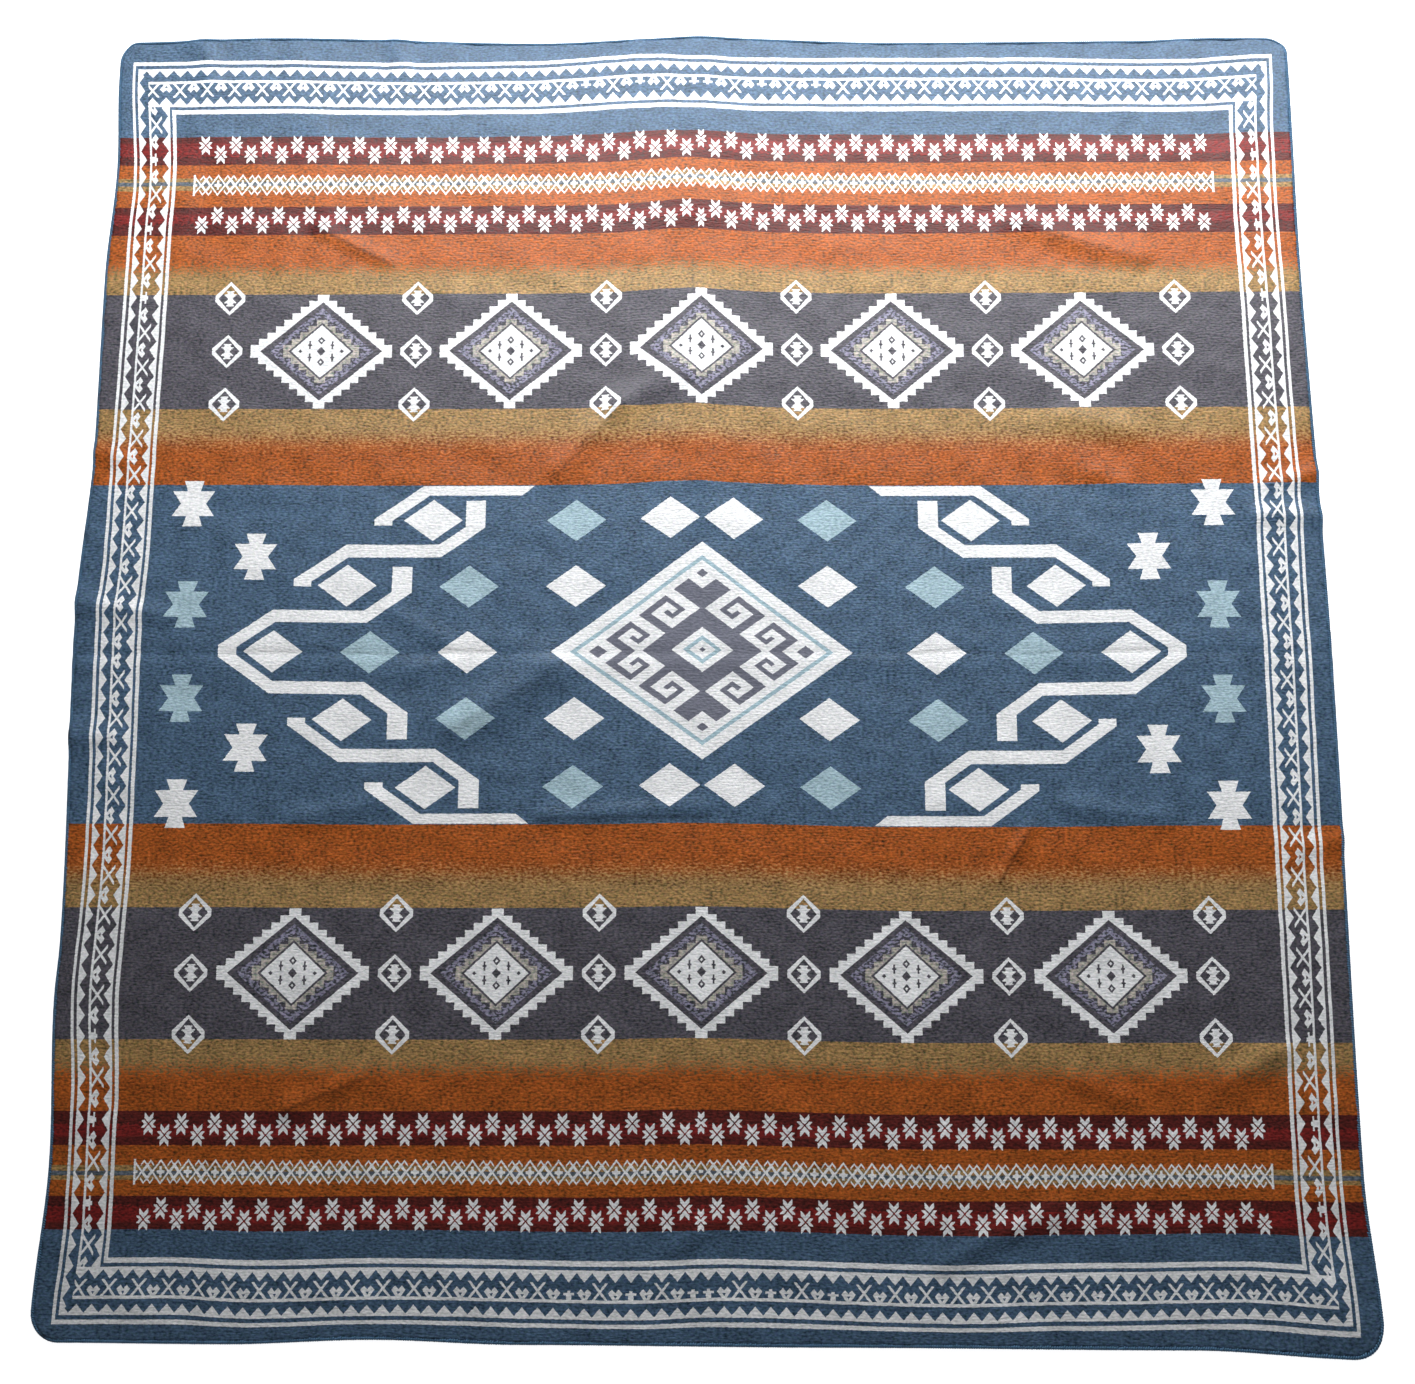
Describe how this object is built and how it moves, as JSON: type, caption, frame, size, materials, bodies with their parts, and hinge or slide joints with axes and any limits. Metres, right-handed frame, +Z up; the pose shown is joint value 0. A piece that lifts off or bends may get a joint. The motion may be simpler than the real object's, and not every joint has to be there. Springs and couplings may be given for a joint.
{
  "type": "blanket",
  "caption": "Large woven blanket with rounded corners and a geometric pattern, spread out flat with soft creases and a fold mark across its middle.",
  "frame": {"origin": "under the middle of the blanket's outline, on the surface that it lies on", "axes": "+X to the right across the blanket, +Y along its length towards the head of the pattern, +Z up"},
  "size_m": [2.1092, 2.2397, 0.0124],
  "materials": {
    "wool": "brushed woven wool"
  },
  "bodies": {
    "root": {"blanket": "wool"}
  },
  "joints": []
}
